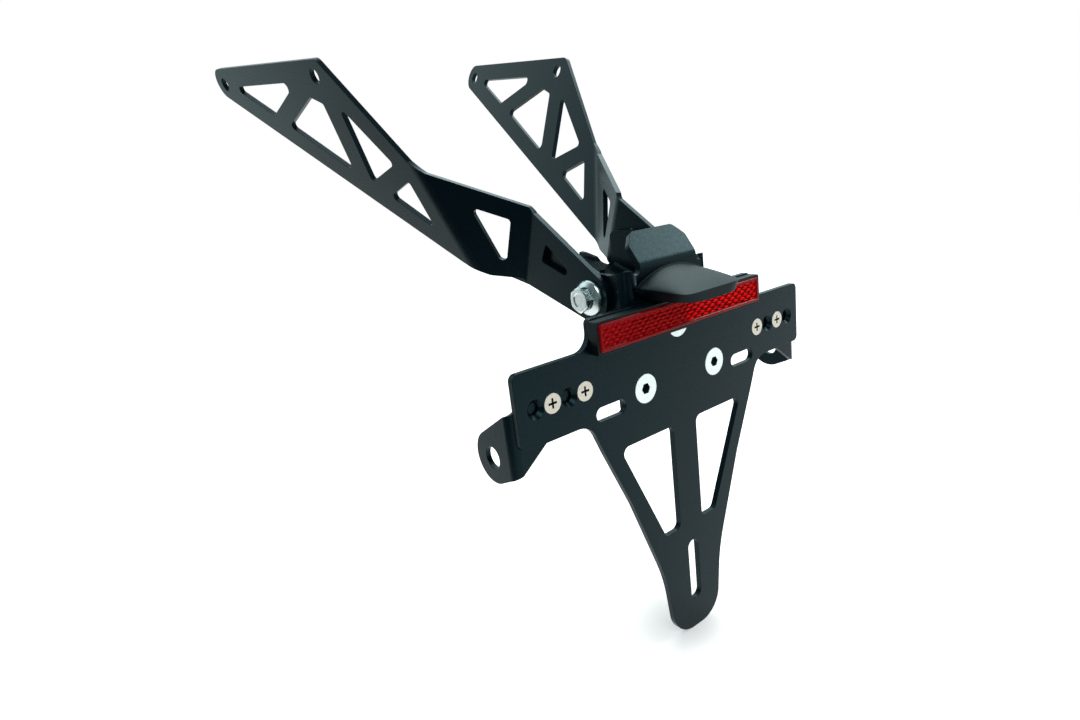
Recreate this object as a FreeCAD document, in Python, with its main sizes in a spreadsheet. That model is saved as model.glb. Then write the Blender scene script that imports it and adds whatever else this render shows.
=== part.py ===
import FreeCAD, Part
import math
import os

# Tail tidy for a motorbike. Millimetres; X runs to the rider's right as seen from behind,
# Y runs forward and Z runs up the number plate. The origin lies on the face that the number
# plate rests on, midway between its two level slots, so the plate stands upright here.

os.makedirs("parts", exist_ok=True)
doc = FreeCAD.newDocument("tail_tidy")
V = FreeCAD.Vector

SIZES = {
    # Sheets and fits
    "plate_thick": 2.5,
    "arm_thick": 2.5,
    "bracket_thick": 2.5,
    "indicator_thick": 2.0,
    "side_gap": 0.05,
    "bore_gap": 0.075,
    # Plate carrier
    "wing_half": 83.0,
    "wing_top": 25.5,
    "wing_low": -2.2,
    "wing_corner": 2.5,
    "neck_half": 47.5,
    "neck_top": 36.8,
    "neck_fillet": 6.5,
    "waist_half": 45.4,
    "waist_low": -15.8,
    "tongue_half": 33.6,
    "tongue_top": -42.0,
    "narrow_half": 17.6,
    "narrow_top": -84.8,
    "tip_half": 14.0,
    "tip_low": -115.6,
    "window_inner": 7.0,
    "window_top": -17.0,
    "window_low": -64.3,
    "window_half": 37.4,
    "window_foot": 9.0,
    "window_corner": 3.0,
    "tip_slot_wide": 6.5,
    "tip_slot_top": -72.8,
    "tip_slot_low": -101.8,
    "side_slot_x": 40.0,
    "side_slot_long": 15.5,
    "side_slot_wide": 5.7,
    # M6 screws of the plate
    "screw_pitch": 42.0,
    "screw_low": 3.2,
    "screw_high": 25.2,
    "screw_head": 11.8,
    "screw_bore": 7.0,
    "screw_long": 12.0,
    "shank": 6.0,
    "nut_flats": 10.0,
    "nut_thick": 5.0,
    # Indicator holes and screws: a row of four from row_x to near the wing's end
    "row_x": 51.9,
    "row_inset": 8.15,
    "row_z": 11.2,
    "small_head": 7.5,
    "small_shank": 4.0,
    "small_bore": 4.4,
    "small_long": 10.0,
    "small_nut_flats": 7.0,
    "small_nut_thick": 3.2,
    # Reflector
    "reflector_half": 47.8,
    "reflector_low": 23.5,
    "reflector_top": 36.2,
    "reflector_deep": 5.3,
    "lens_proud": 0.7,
    "tray_wall": 1.0,
    "tray_back": 1.2,
    # Pivot
    "pivot_y": 21.5,
    "pivot_z": 39.2,
    "pivot_round": 10.0,
    "flange_wide": 14.2,
    "head_flats": 8.0,
    "washer_wide": 12.0,
    "washer_thick": 1.6,
    "lock_nut_thick": 6.0,
    # Arms, measured forward and up from the pivot
    "arm_x": 24.0,
    "knee_run": 44.26,
    "knee_lean": -0.345,
    "knee_low": 3.8,
    "knee_high": 33.9,
    "knee_bend": 4.0,
    "joggle_slope": 0.577,
    "hip_low": 10.2,
    "hip_high": 56.0,
    "hip_bend": 10.0,
    "splay_out": 4.893,
    "splay_run": 0.066,
    "splay_rise": 0.324,
    "front_run": 259.5,
    "front_rise": 132.4,
    "front_round": 8.0,
    "rear_run": 113.3,
    "rear_rise": 111.2,
    "rear_round": 5.0,
    "rear_bore_back": 6.2,
    "rear_bore_inset": 7.0,
    "arm_bore": 7.0,
    # Centre bracket; the ears are measured from the pivot
    "web_half": 31.0,
    "web_low": -6.3,
    "web_shoulder": 26.2,
    "ear_top": 49.4,
    "ear_low": 30.2,
    "ear_bend": 2.5,
    "ear_reach": 36.5,
    "finger_long": 21.0,
    "lip_wide": 7.0,
    "lip_bend": 1.0,
    "tab_half": 16.3,
    "tab_base": 49.7,
    "tab_long": 13.0,
    "tab_clip": 4.5,
    "tab_lean": 35.4,
    "tab_bend": 2.0,
    # Lamp
    "lamp_half": 20.3,
    "lamp_nose_half": 17.8,
    "lamp_deep": 22.0,
    "lamp_low": 37.3,
    "lamp_rim": 40.8,
    "lamp_side": 42.8,
    "lamp_crest": 49.0,
    "lamp_wall": 1.6,
    "lamp_corner": 2.5,
    "lamp_screw_x": 12.0,
    "lamp_screw_z": 41.3,
    "cable_hole": 7.0,
    # Indicator brackets, placed from the wing's end
    "indicator_out": 2.0,
    "indicator_y": 15.9,
    "indicator_z": -7.2,
    "indicator_bore": 8.5,
    "indicator_round": 10.0,
    "indicator_bend": 1.5,
}

sheet = doc.addObject("Spreadsheet::Sheet", "sizes")
for row, (alias, value) in enumerate(SIZES.items(), start=1):
    sheet.set("A%d" % row, alias)
    sheet.set("B%d" % row, str(value))
    sheet.setAlias("B%d" % row, alias)
doc.recompute()


def size(alias):
    return float(sheet.get(alias))


# Rounds the corners of a closed outline. Each corner is a point and a radius.
def corner_edges(corners):
    count = len(corners)
    edges = []
    last = None
    first = None
    for k in range(count):
        here, radius = corners[k]
        before = (corners[k - 1][0] - here).normalize()
        after = (corners[(k + 1) % count][0] - here).normalize()
        if radius > 0:
            half = before.getAngle(after) / 2
            reach = radius / math.tan(half)
            enter = here + before * reach
            leave = here + after * reach
            inward = (before + after).normalize()
            middle = here + inward * (radius / math.sin(half) - radius)
        else:
            enter = here
            leave = here
            middle = None
        if last is not None and (enter - last).Length > 1e-6:
            edges.append(("line", last, enter))
        if middle is not None:
            edges.append(("arc", enter, middle, leave))
        if first is None:
            first = enter
        last = leave
    if (first - last).Length > 1e-6:
        edges.append(("line", last, first))
    return edges


def shape_of(edge):
    if edge[0] == "line":
        return Part.LineSegment(edge[1], edge[2])
    return Part.Arc(edge[1], edge[2], edge[3])


# A flat piece of sheet: its rounded outline raised by the thickness along its normal.
def flat(corners, normal, thick):
    wire = Part.Wire([shape_of(edge).toShape() for edge in corner_edges(corners)])
    return Part.Face(wire).extrude(normal * thick)


# A bend between two flats. line_point and axis give the first tangent line, radius is signed
# along the normal, and start and finish are the band's ends along the axis at its two edges.
def bend(line_point, axis, normal, radius, thick, start, finish, angle):
    centre = line_point + normal * radius
    if start == finish:
        corners = [line_point + axis * along + normal * across for along, across in
                   ((start[0], 0), (start[1], 0), (start[1], thick), (start[0], thick))]
        face = Part.Face(Part.makePolygon(corners + corners[:1]))
        return face.revolve(centre, axis, angle)
    steps = 6
    wires = []
    for k in range(steps + 1):
        part = k / steps
        low = start[0] + (finish[0] - start[0]) * part
        high = start[1] + (finish[1] - start[1]) * part
        turn = FreeCAD.Rotation(axis, angle * part)
        corners = []
        for along, across in ((low, 0), (high, 0), (high, thick), (low, thick)):
            point = line_point + axis * along + normal * across
            corners.append(centre + turn.multVec(point - centre))
        wires.append(Part.makePolygon(corners + corners[:1]))
    return Part.makeLoft(wires, True, False)


def feature(name, shape):
    part = doc.addObject("Part::Feature", name)
    part.Shape = shape
    part.Label = name
    part.Placement = FreeCAD.Placement()
    return part


def new_body(name):
    body = doc.addObject("PartDesign::Body", name)
    body.Label = name
    return body


def new_sketch(body, name, role, offset=0.0):
    sketch = body.newObject("Sketcher::SketchObject", name)
    plane = [o for o in body.Origin.OriginFeatures if o.Role == role][0]
    sketch.AttachmentSupport = [(plane, "")]
    sketch.MapMode = "FlatFace"
    sketch.AttachmentOffset = FreeCAD.Placement(V(0, 0, offset), FreeCAD.Rotation())
    return sketch


def add_outline(sketch, corners):
    for edge in corner_edges([(V(x, y, 0), r) for x, y, r in corners]):
        if edge[0] == "line":
            sketch.addGeometry(Part.LineSegment(edge[1], edge[2]), False)
        else:
            sketch.addGeometry(Part.Arc(edge[1], edge[2], edge[3]), False)


def add_circle(sketch, x, y, radius):
    sketch.addGeometry(Part.Circle(V(x, y, 0), V(0, 0, 1), radius), False)


def add_slot(sketch, x, y, long_x, long_y):
    r = min(long_x, long_y) / 2
    a = long_x / 2
    b = long_y / 2
    keep = 0.9999
    add_outline(sketch, [(x - a, y - b, r * keep), (x + a, y - b, r * keep),
                         (x + a, y + b, r * keep), (x - a, y + b, r * keep)])


def pad(body, name, sketch, length, reverse=False):
    made = body.newObject("PartDesign::Pad", name)
    made.Profile = sketch
    made.setExpression("Length", length)
    made.Reversed = reverse
    sketch.Visibility = False
    return made


def pocket(body, name, sketch, length, reverse=False):
    before = body.Shape.Volume
    made = body.newObject("PartDesign::Pocket", name)
    made.Profile = sketch
    if length:
        made.setExpression("Length", length)
    else:
        made.Type = "ThroughAll"
        made.Midplane = True
    made.Reversed = reverse
    doc.recompute()
    if body.Shape.Volume > before - 0.01:
        raise ValueError(name + " cuts nothing")
    return made


# Plate carrier: one flat sheet with a neck behind the reflector, two wings for the
# indicators and a tongue that carries the plate's lower screw.
plate = new_body("plate_carrier")
outline = new_sketch(plate, "plate_outline", "XZ_Plane")
half_outline = [
    (size("neck_half"), size("neck_top"), 2.0),
    (size("neck_half"), size("wing_top"), size("neck_fillet")),
    (size("wing_half"), size("wing_top"), size("wing_corner")),
    (size("wing_half"), size("wing_low"), size("wing_corner")),
    (size("waist_half") + 5.6, size("wing_low"), 9.0),
    (size("waist_half"), size("waist_low"), 10.0),
    (size("tongue_half"), size("tongue_top"), 30.0),
    (size("narrow_half"), size("narrow_top"), 80.0),
    (size("tip_half"), size("tip_low"), 0.9 * size("tip_half")),
]
add_outline(outline, half_outline + [(-x, z, r) for x, z, r in reversed(half_outline)])
pad(plate, "plate_pad", outline, "sizes.plate_thick", reverse=True)
doc.recompute()
windows = new_sketch(plate, "plate_windows", "XZ_Plane")
for side in (1, -1):
    inner = size("window_inner")
    corner = size("window_corner")
    loop = [
        (inner, size("window_top"), corner),
        (size("window_half"), size("window_top"), corner),
        (inner + size("window_foot"), size("window_low"), corner),
        (inner, size("window_low"), corner),
    ]
    add_outline(windows, [(side * x, z, r) for x, z, r in loop][::side])
    add_slot(windows, side * size("side_slot_x"), 0, size("side_slot_long"),
             size("side_slot_wide"))
tip_long = size("tip_slot_top") - size("tip_slot_low")
add_slot(windows, 0, (size("tip_slot_top") + size("tip_slot_low")) / 2,
         size("tip_slot_wide"), tip_long)
pocket(plate, "plate_windows_cut", windows, None)

half_pitch = size("screw_pitch") / 2
plate_screws = {
    "plate_screw_left": (-half_pitch, size("screw_low")),
    "plate_screw_right": (half_pitch, size("screw_low")),
    "plate_screw_top": (0.0, size("screw_high")),
}
row_pitch = (size("wing_half") - size("row_inset") - size("row_x")) / 3
row_holes = [size("row_x") + k * row_pitch for k in range(4)]


# A countersunk hole: a groove turned about the hole's axis.
def sunk_hole(body, name, x, z, head, bore, thick):
    before = body.Shape.Volume
    sketch = new_sketch(body, name + "_profile", "XY_Plane", z)
    slope = (head - bore) / 2
    if slope < thick:
        corners = [(x, -1, 0), (x + head / 2, -1, 0), (x + head / 2, 0, 0),
                   (x + bore / 2, slope, 0), (x + bore / 2, thick + 1, 0), (x, thick + 1, 0)]
    else:
        corners = [(x, -1, 0), (x + head / 2, -1, 0), (x + head / 2, 0, 0),
                   (x + head / 2 - thick - 0.1, thick + 0.1, 0), (x, thick + 0.1, 0)]
    add_outline(sketch, corners)
    sketch.addGeometry(Part.LineSegment(V(x, -2, 0), V(x, thick + 2, 0)), True)
    groove = body.newObject("PartDesign::Groove", name)
    groove.Profile = sketch
    groove.ReferenceAxis = (sketch, ["Axis0"])
    groove.Angle = 360
    doc.recompute()
    if body.Shape.Volume > before - 0.01:
        raise ValueError(name + " cuts nothing")


for name, (x, z) in plate_screws.items():
    sunk_hole(plate, name + "_seat", x, z, size("screw_head"), size("shank") + 0.4,
              size("plate_thick"))
for side, word in ((-1, "left"), (1, "right")):
    for k, x in enumerate(row_holes):
        sunk_hole(plate, "row_%s_%d" % (word, k), side * x, size("row_z"),
                  size("small_head"), size("small_bore"), size("plate_thick"))

# Reflector tray: a shallow black tray bonded to the plate, its walls around the red lens.
tray = new_body("reflector_base")


def rounded_box(sketch, half_x, low, high, radius):
    add_outline(sketch, [(-half_x, low, radius), (half_x, low, radius),
                         (half_x, high, radius), (-half_x, high, radius)])


tray_outline = new_sketch(tray, "tray_outline", "XZ_Plane")
rounded_box(tray_outline, size("reflector_half"), size("reflector_low"),
            size("reflector_top"), 1.2)
pad(tray, "tray_pad", tray_outline, "sizes.reflector_deep - sizes.lens_proud")
doc.recompute()
tray_hollow = new_sketch(tray, "tray_hollow", "XZ_Plane", size("tray_back"))
wall = size("tray_wall")
rounded_box(tray_hollow, size("reflector_half") - wall, size("reflector_low") + wall,
            size("reflector_top") - wall, 1.0)
pocket(tray, "tray_cut", tray_hollow, "sizes.reflector_deep", reverse=True)

# Reflector lens: red plastic that fills the tray and stands a little proud of it.
lens = new_body("reflector_lens")
lens_outline = new_sketch(lens, "lens_outline", "XZ_Plane", size("tray_back"))
fit = size("side_gap")
rounded_box(lens_outline, size("reflector_half") - wall - fit,
            size("reflector_low") + wall + fit, size("reflector_top") - wall - fit, 1.0)
lens_pad = pad(lens, "lens_pad", lens_outline, "sizes.reflector_deep - sizes.tray_back")
doc.recompute()
lens_face = ["Face%d" % (n + 1) for n, face in enumerate(lens_pad.Shape.Faces)
             if abs(face.CenterOfMass.y + size("reflector_deep")) < 0.01]
lens_rim = lens.newObject("PartDesign::Chamfer", "lens_rim")
lens_rim.Base = (lens_pad, lens_face)
lens_rim.Size = 0.5
doc.recompute()


# Centre bracket and arms share the pivot's axis and the arms' lower outline.
pivot = V(0, size("pivot_y"), size("pivot_z"))


# The point where a line from start touches the round end about the pivot.
def touch(start, radius, side):
    gap = V(0, start.y - pivot.y, start.z - pivot.z)
    lean = math.atan2(gap.z, gap.y)
    spread = math.acos(radius / gap.Length)
    turned = lean + side * spread
    return V(start.x, pivot.y + radius * math.cos(turned), pivot.z + radius * math.sin(turned))


# Arms: each is one folded sheet with a lower flat at the pivot, a joggle outwards and an upper
# flat that splays outwards as it rises. A flat is (x at the pivot, x per mm forward, x per mm
# up), and points on its inner face are given as (y, z) from the pivot.
thick = size("arm_thick")
lower = (size("arm_x"), 0.0, 0.0)
slope = size("joggle_slope")
joggle = (size("arm_x") - slope * size("knee_run"), slope, -slope * size("knee_lean"))
upper = (size("arm_x") + size("splay_out"), size("splay_run"), size("splay_rise"))


def on(face, y, z):
    return V(face[0] + face[1] * y + face[2] * z, pivot.y + y, pivot.z + z)


def normal_of(face):
    return V(1, -face[1], -face[2]).normalize()


def from_pivot(point):
    return (point.y - pivot.y, point.z - pivot.z)


# Everything about the bend between two flats: its first and last tangent lines, its axis,
# the signed radius of the inner face and the angle.
def bend_between(first, second, inner_radius, outwards):
    n1 = normal_of(first)
    n2 = normal_of(second)
    axis = n1.cross(n2)
    angle = math.degrees(math.asin(axis.Length))
    axis.normalize()
    if outwards:
        radius = inner_radius + thick
    else:
        radius = -inner_radius
    base_y = (second[0] - first[0]) / (first[1] - second[1])
    corner = on(first, base_y, 0.0)
    way1 = axis.cross(n1)
    way2 = axis.cross(n2)
    if way1.y < 0:
        way1 = way1 * -1
        way2 = way2 * -1
    reach = abs(radius) * math.tan(math.radians(angle / 2))
    up = axis if axis.z > 0 else axis * -1
    return {"axis": axis, "angle": angle, "radius": radius, "normal": n1, "up": up,
            "enter": corner - way1 * reach, "leave": corner + way2 * reach}


# The two ends of a tangent line, at heights above the pivot.
def line_ends(start, up, low, high):
    return [start + up * ((pivot.z + z - start.z) / up.z) for z in (low, high)]


knee = bend_between(lower, joggle, size("knee_bend"), True)
hip = bend_between(joggle, upper, size("hip_bend"), False)

knee_enter = line_ends(knee["enter"], knee["up"], size("knee_low"), size("knee_high"))
knee_leave = line_ends(knee["leave"], knee["up"], size("knee_low") + 2.6,
                       size("knee_high") + 3.1)
hip_enter = line_ends(hip["enter"], hip["up"], size("hip_low"), size("hip_high"))
hip_leave = line_ends(hip["leave"], hip["up"], size("hip_low") + 3.6, size("hip_high") + 6.0)
front_tip = (size("front_run"), size("front_rise"))
rear_tip = (size("rear_run"), size("rear_rise"))


def bend_band(data, enter, leave):
    start = data["enter"]
    axis = data["axis"]
    along = [(p - start).dot(axis) for p in enter]
    turn = FreeCAD.Rotation(axis, data["angle"])
    centre = start + data["normal"] * data["radius"]
    turned_start = centre + turn.multVec(start - centre)
    last = [(p - turned_start).dot(axis) for p in leave]
    return bend(start, axis, data["normal"], data["radius"], thick, along, last, data["angle"])


# A point beside an edge: a share of the way from its start, and an inset to its right.
def beside(edge, share, inset):
    (y0, z0), (y1, z1) = edge
    long = math.hypot(y1 - y0, z1 - z0)
    return (y0 + (y1 - y0) * share + (z1 - z0) / long * inset,
            z0 + (z1 - z0) * share - (y1 - y0) / long * inset)


# The cut-outs leave strips along the edges and struts between them, like a truss. Each corner
# is (edge, share of the way along it, inset, corner radius).
top_edge = (rear_tip, front_tip)
low_edge = (front_tip, from_pivot(hip_leave[0]))
back_edge = (from_pivot(hip_leave[1]), rear_tip)
high_edge = (from_pivot(knee_leave[1]), from_pivot(hip_enter[1]))
keel_edge = (from_pivot(hip_enter[0]), from_pivot(knee_leave[0]))
upper_windows = [
    [(top_edge, 0.673, 9.6, 1.8), (top_edge, 0.179, 8.9, 2.6), (low_edge, 0.375, 10.0, 1.8)],
    [(low_edge, 0.434, 10.1, 1.6), (low_edge, 0.66, 9.0, 3.0), (top_edge, 0.061, 18.9, 2.0),
     (top_edge, 0.129, 15.8, 2.0)],
    [(back_edge, 0.731, 11.1, 1.8), (back_edge, 0.112, 9.3, 1.8), (low_edge, 0.719, 10.6, 2.0)],
    [(low_edge, 0.776, 9.5, 1.8), (low_edge, 0.911, 8.2, 1.8), (low_edge, 0.842, 25.1, 1.8)],
]
joggle_window = [(high_edge, 0.531, 8.1, 1.8), (high_edge, 0.135, 7.9, 1.8),
                 (keel_edge, 0.575, 2.5, 2.4)]
lower_window = [(24.5, 21.2, 1.0), (4.1, 4.4, 1.9), (28.5, 13.7, 1.0)]


# The centre of the front end's rounding, where the front bore sits.
def front_centre():
    to_rear = V(rear_tip[0] - front_tip[0], rear_tip[1] - front_tip[1], 0).normalize()
    to_hip = V(low_edge[1][0] - front_tip[0], low_edge[1][1] - front_tip[1], 0).normalize()
    half = to_rear.getAngle(to_hip) / 2
    centre = V(*front_tip) + (to_rear + to_hip).normalize() * size("front_round") / math.sin(half)
    return (centre.x, centre.y)


def at_corners(window):
    return [beside(edge, share, inset) + (r,) for edge, share, inset, r in window]


def window_cutter(face, corners):
    normal = normal_of(face)
    solid = flat([(on(face, y, z), r) for y, z, r in corners], normal, thick + 2)
    solid.translate(normal * -1)
    return solid


def bore_cutter(face, y, z, radius):
    normal = normal_of(face)
    return Part.makeCylinder(radius, thick + 2, on(face, y, z) - normal, normal)


def arm_shape():
    round_end = size("pivot_round")
    centre = on(lower, 0, 0)
    touch_high = touch(knee_enter[1], round_end, 1)
    touch_low = touch(knee_enter[0], round_end, -1)
    back = centre + V(0, -round_end, 0)
    edges = [
        Part.LineSegment(knee_enter[0], knee_enter[1]).toShape(),
        Part.LineSegment(knee_enter[1], touch_high).toShape(),
        Part.Arc(touch_high, back, touch_low).toShape(),
        Part.LineSegment(touch_low, knee_enter[0]).toShape(),
    ]
    lower_flat = Part.Face(Part.Wire(edges)).extrude(normal_of(lower) * thick)
    hip_y, hip_z = from_pivot(hip_enter[0])
    joggle_flat = flat([(knee_leave[0], 0), (knee_leave[1], 0), (hip_enter[1], 0),
                        (hip_enter[0], 0), (on(joggle, hip_y - 2.75, hip_z - 1.4), 8.0)],
                       normal_of(joggle), thick)
    upper_flat = flat([(hip_leave[0], 0), (hip_leave[1], 0),
                       (on(upper, *rear_tip), size("rear_round")),
                       (on(upper, *front_tip), size("front_round"))],
                      normal_of(upper), thick)
    arm = lower_flat.fuse([
        bend_band(knee, knee_enter, knee_leave),
        joggle_flat,
        bend_band(hip, hip_enter, hip_leave),
        upper_flat,
    ])
    rear_bore = beside((rear_tip, front_tip), 0, size("rear_bore_inset"))
    along = V(front_tip[0] - rear_tip[0], front_tip[1] - rear_tip[1], 0).normalize()
    rear_bore = (rear_bore[0] + along.x * size("rear_bore_back"),
                 rear_bore[1] + along.y * size("rear_bore_back"))
    cutters = [window_cutter(upper, at_corners(window)) for window in upper_windows]
    cutters.append(window_cutter(joggle, at_corners(joggle_window)))
    cutters.append(window_cutter(lower, lower_window))
    for y, z in (front_centre(), rear_bore):
        cutters.append(bore_cutter(upper, y, z, size("arm_bore") / 2))
    cutters.append(bore_cutter(lower, 0, 0, size("shank") / 2 + size("bore_gap")))
    return arm.cut(cutters).removeSplitter()


right_arm = arm_shape()
feature("right_arm", right_arm)
feature("left_arm", right_arm.mirror(V(0, 0, 0), V(1, 0, 0)))

# Centre bracket: one folded sheet. Its web lies against the plate's back, two ears fold
# forward inside the arms, a tab leans forward over the lamp and lips fold in under the ears.
sheet_thick = size("bracket_thick")
web_y = size("plate_thick")
web_back = web_y + sheet_thick
ear_x = size("arm_x") - size("side_gap")
corner_round = size("ear_bend") + sheet_thick
ear_touch_high = touch(knee_enter[1], size("pivot_round"), 1)
ear_touch_low = touch(knee_enter[0], size("pivot_round"), -1)
ear_front = pivot.y + size("ear_reach")


# The height of the arms' lower outline above a given y.
def edge_height(low_point, high_point, y):
    rise = (high_point.z - low_point.z) / (high_point.y - low_point.y)
    return low_point.z + rise * (y - low_point.y)


def ear_bottom(y):
    return edge_height(ear_touch_low, knee_enter[0], y)


def ear_crown(y):
    return edge_height(ear_touch_high, knee_enter[1], y)


lip_round = size("lip_bend") + sheet_thick
lip_start = pivot.y + 9.5
lip_end = ear_front - 2.0
lip_rise = (ear_bottom(lip_end) - ear_bottom(lip_start)) / (lip_end - lip_start)
lip_step = lip_round * math.sqrt(1 + lip_rise * lip_rise)
finger_end = ear_front + size("finger_long")
dip_y = web_back + 6.0
dip_z = size("ear_top") - 1.8
crown_rise = (knee_enter[1].z - ear_touch_high.z) / (knee_enter[1].y - ear_touch_high.y)
crown_start = ear_touch_high.y + (size("ear_top") - 0.8 - ear_touch_high.z) / crown_rise
ear_outline = [
    (web_y - 1, size("ear_low"), 0),
    (ear_touch_low.y, size("ear_low"), 0),
    (lip_start, ear_bottom(lip_start), 0),
    (lip_start, ear_bottom(lip_start) + lip_step, 0),
    (lip_end, ear_bottom(lip_end) + lip_step, 0),
    (lip_end, ear_bottom(lip_end), 0),
    (ear_front + 2.5, ear_bottom(ear_front) - 0.5, 3.0),
    (finger_end + 2.5, ear_bottom(ear_front) + 4.1, 2.2),
    (finger_end + 1.6, ear_bottom(ear_front) + 9.4, 2.2),
    (ear_front + 5.5, ear_bottom(ear_front) + 5.6, 0),
    (ear_front, ear_bottom(ear_front) + 5.6, 0),
    (ear_front, ear_crown(ear_front), 3.0),
    (crown_start, size("ear_top") - 0.8, 4.0),
    (dip_y, dip_z, 8.0),
    (web_back, size("ear_top"), 2.0),
    (web_y - 1, size("ear_top"), 0),
]
ears_plan = [
    (V(-ear_x, ear_front + 30, 0), 0),
    (V(-ear_x, web_y, 0), corner_round),
    (V(ear_x, web_y, 0), corner_round),
    (V(ear_x, ear_front + 30, 0), 0),
    (V(ear_x - sheet_thick, ear_front + 30, 0), 0),
    (V(ear_x - sheet_thick, web_back, 0), size("ear_bend")),
    (V(-ear_x + sheet_thick, web_back, 0), size("ear_bend")),
    (V(-ear_x + sheet_thick, ear_front + 30, 0), 0),
]
channel = flat(ears_plan, V(0, 0, 1), 120.0)
side_cut = flat([(V(-60, y, z), r) for y, z, r in ear_outline], V(1, 0, 0), 120.0)
ears = channel.common(side_cut)

web_half = size("web_half")
shoulder = size("web_shoulder")
web_edge = ear_x - corner_round
web_outline = [
    (-web_half, size("web_low"), 4.0), (web_half, size("web_low"), 4.0),
    (web_half, shoulder, 4.0), (web_edge, shoulder, 1.0), (web_edge, size("ear_top"), 0),
    (-web_edge, size("ear_top"), 0), (-web_edge, shoulder, 1.0), (-web_half, shoulder, 4.0),
]
web = flat([(V(x, web_y, z), r) for x, z, r in web_outline], V(0, 1, 0), sheet_thick)

tab_half = size("tab_half")
tab_base = size("tab_base")
tab_neck = Part.makeBox(2 * tab_half, sheet_thick, tab_base - shoulder,
                        V(-tab_half, web_y, shoulder))
tab_radius = size("tab_bend") + sheet_thick
tab_start = V(0, web_y, tab_base)
tab_turn = bend(tab_start, V(-1, 0, 0), V(0, 1, 0), tab_radius, sheet_thick,
                (-tab_half, tab_half), (-tab_half, tab_half), size("tab_lean"))
lean_angle = math.radians(size("tab_lean"))
tab_way = V(0, math.sin(lean_angle), math.cos(lean_angle))
tab_normal = V(0, math.cos(lean_angle), -math.sin(lean_angle))
tab_foot = V(0, web_y + tab_radius, tab_base) - tab_normal * tab_radius
tab_long = size("tab_long")
tab_clip = size("tab_clip")
tab_points = [(-tab_half, 0, 0), (tab_half, 0, 0), (tab_half, tab_long * 0.58, 3.0),
              (tab_half - tab_clip, tab_long, 3.0), (-tab_half + tab_clip, tab_long, 3.0),
              (-tab_half, tab_long * 0.58, 3.0)]
tab = flat([(tab_foot + V(x, 0, 0) + tab_way * up, r) for x, up, r in tab_points],
           tab_normal, sheet_thick)


# A lip folded inwards along one ear's lower edge.
def ear_lip(side):
    way = V(0, 1, lip_rise).normalize()
    outward = V(side, 0, 0)
    foot = V(side * ear_x, lip_start, ear_bottom(lip_start) + lip_step)
    long = (V(0, lip_end, ear_bottom(lip_end)) - V(0, lip_start, ear_bottom(lip_start))).Length
    down = V(0, lip_rise, -1).normalize()
    axis = outward.cross(down)
    along = axis.dot(way)
    ends = sorted((0.0, long * along))
    band = bend(foot, axis, outward * -1, lip_round, sheet_thick, ends, ends, 90.0)
    lip_normal = down * -1
    start = V(side * (ear_x - lip_round), 0, 0) + V(0, foot.y, foot.z) + down * lip_round
    inwards = outward * -size("lip_wide")
    corners = [(start, 0), (start + way * long, 0),
               (start + way * long + inwards, 2.0), (start + inwards, 2.0)]
    return band.fuse(flat(corners, lip_normal, sheet_thick))


bracket = ears.fuse([web, tab_neck, tab_turn, tab, ear_lip(1), ear_lip(-1)])
web_screw_z = size("lamp_screw_z")
relief = 2.1
notch = 2.6


# A round hole through the web, or through both ears.
def web_hole(x, z, radius):
    return Part.makeCylinder(radius, 20.0, V(x, web_y - 6, z), V(0, 1, 0))


def ear_hole(y, z, radius):
    return Part.makeCylinder(radius, 4 * ear_x, V(-2 * ear_x, y, z), V(1, 0, 0))


cutters = [web_hole(0, web_screw_z, size("cable_hole") / 2)]
for side in (1, -1):
    cutters.append(web_hole(side * (tab_half + relief), size("ear_top"), relief))
    cutters.append(web_hole(side * size("lamp_screw_x"), web_screw_z, 1.7))
for x, z in plate_screws.values():
    cutters.append(web_hole(x, z, size("screw_bore") / 2))
cutters.append(ear_hole(pivot.y, pivot.z, size("shank") / 2 + size("bore_gap")))
cutters.append(ear_hole(ear_front + notch, ear_bottom(ear_front) + 5.2, notch))
feature("centre_bracket", bracket.cut(cutters).removeSplitter())

# Lamp housing: a plastic cap on the web over the plate's top edge. Its roof is ruled between
# an arch at the back and the straight lip at the front; the underside is open for the lens.
lamp_back = web_y
lamp_front = web_y - size("lamp_deep")
lamp_low = size("lamp_low")
lamp_wall = size("lamp_wall")
nose_top = size("lamp_rim")


def lamp_half(y):
    part = (lamp_back - y) / size("lamp_deep")
    return size("lamp_half") + (size("lamp_nose_half") - size("lamp_half")) * part


def lamp_height(y, back, front):
    return back + (front - back) * (lamp_back - y) / size("lamp_deep")


# One section across the lamp: a flat bottom, upright sides and a parabola for its roof.
def lamp_section(y, low, less):
    half = lamp_half(y) - less
    side = lamp_height(y, size("lamp_side"), nose_top) - less
    rise = lamp_height(y, size("lamp_crest") - size("lamp_side"), 0.2)
    roof = Part.BezierCurve()
    roof.setPoles([V(half, y, side), V(0, y, side + 2 * rise), V(-half, y, side)])
    return Part.Wire([
        Part.LineSegment(V(-half, y, low), V(half, y, low)).toShape(),
        Part.LineSegment(V(half, y, low), V(half, y, side)).toShape(),
        roof.toShape(),
        Part.LineSegment(V(-half, y, side), V(-half, y, low)).toShape(),
    ])


def lamp_plan(front, back, low, high, less, corner):
    corners = [(V(-lamp_half(front) + less, front, low), corner),
               (V(lamp_half(front) - less, front, low), corner),
               (V(lamp_half(back) - less, back, low), 0.5),
               (V(-lamp_half(back) + less, back, low), 0.5)]
    return flat(corners, V(0, 0, 1), high - low)


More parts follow.
